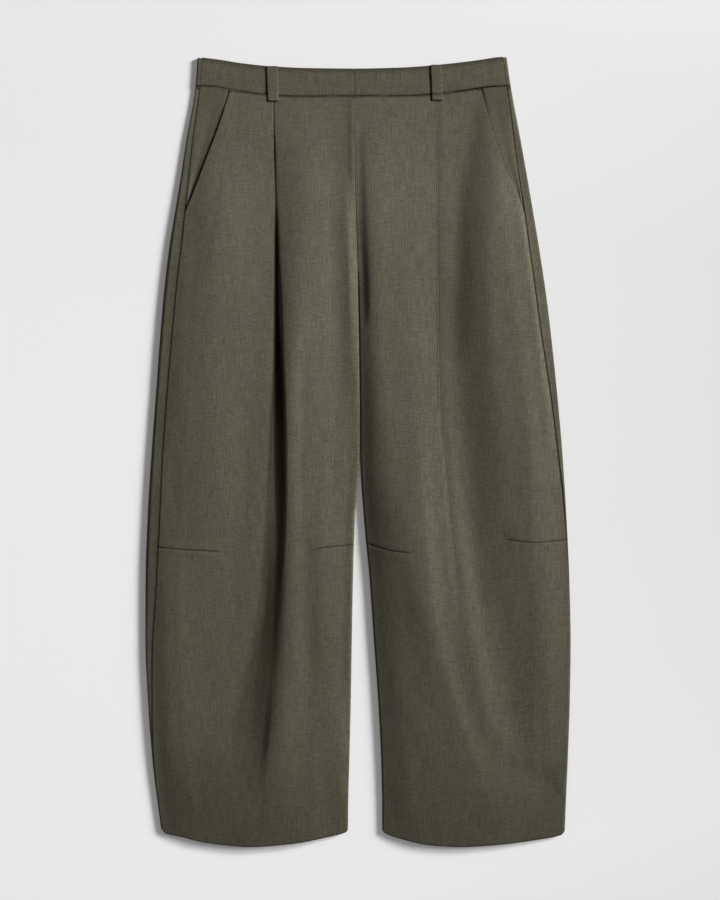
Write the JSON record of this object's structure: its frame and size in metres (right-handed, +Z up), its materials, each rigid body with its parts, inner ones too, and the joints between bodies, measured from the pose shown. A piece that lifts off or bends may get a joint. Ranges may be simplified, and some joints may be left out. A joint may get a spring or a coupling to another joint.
{
  "type": "barrel leg trousers",
  "caption": "High-waisted barrel leg trousers laid flat, front up, with front pleats, slanted side pockets, knee darts and a waistband with belt loops.",
  "frame": {"origin": "under the middle of the laid-out garment, on the surface that it rests on", "axes": "+X towards the wearer's left, +Y from hem to waist, +Z up out of the front"},
  "size_m": [0.5324, 0.9886, 0.0178],
  "materials": {
    "panel_cloth": "matt olive-brown melange plain-weave suiting",
    "band_cloth": "the same suiting over interlining, pressed flat",
    "facing_cloth": "the same suiting, shown inside the pocket mouth"
  },
  "bodies": {
    "root": {"front_right": "panel_cloth", "front_left": "panel_cloth", "back_right": "panel_cloth", "back_left": "panel_cloth", "pocket_facing_right": "facing_cloth", "pocket_facing_left": "facing_cloth", "waistband_front_right": "band_cloth", "waistband_front_left": "band_cloth", "waistband_back": "band_cloth", "belt_loop_right": "band_cloth", "belt_loop_left": "band_cloth"}
  },
  "joints": []
}
